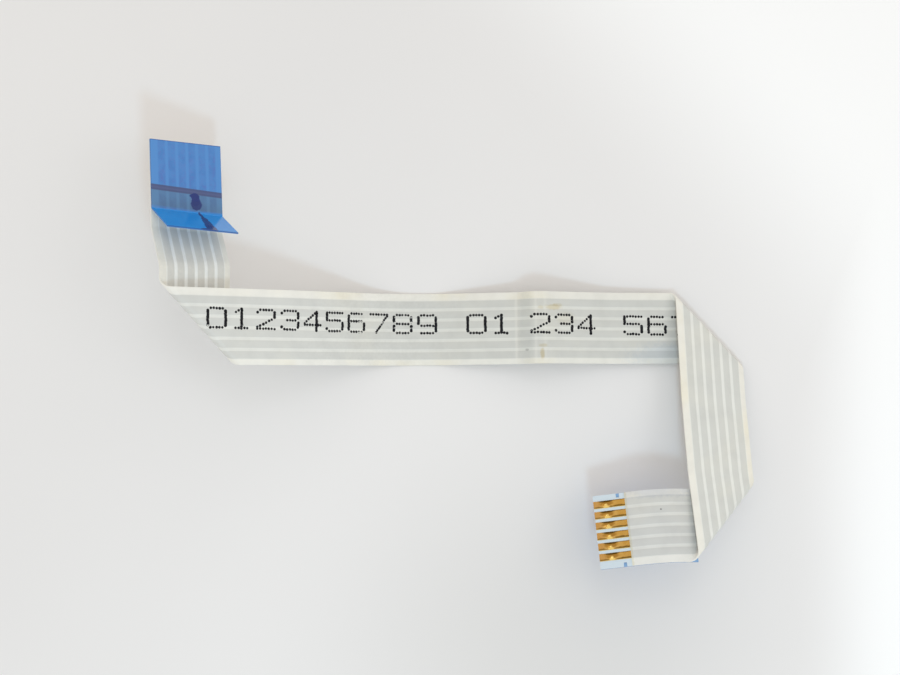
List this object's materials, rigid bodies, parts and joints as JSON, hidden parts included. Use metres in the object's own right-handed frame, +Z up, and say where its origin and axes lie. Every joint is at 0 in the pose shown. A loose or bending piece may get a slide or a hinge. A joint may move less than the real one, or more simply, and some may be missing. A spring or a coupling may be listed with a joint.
{
  "type": "flat flex cable",
  "caption": "Folded flat flexible ribbon cable with bare flat contacts and blue stiffeners at both ends, lying on a table",
  "frame": {"origin": "middle of the cable's bounding box at table height, Z = 0", "axes": "X is the long way of the folded cable, along its middle stretch towards the right fold; Y points towards the left terminal; Z is up"},
  "size_m": [0.0574, 0.0404, 0.0115],
  "materials": {
    "print_side_film": "satin",
    "back_film": "satin",
    "conductor": "polished",
    "stiffener": "gloss"
  },
  "bodies": {
    "root": {"print_side_film": "print_side_film", "back_film": "back_film", "conductor_1": "conductor", "conductor_2": "conductor", "conductor_3": "conductor", "conductor_4": "conductor", "conductor_5": "conductor", "conductor_6": "conductor", "left_stiffener": "stiffener", "right_stiffener": "stiffener"}
  },
  "joints": []
}
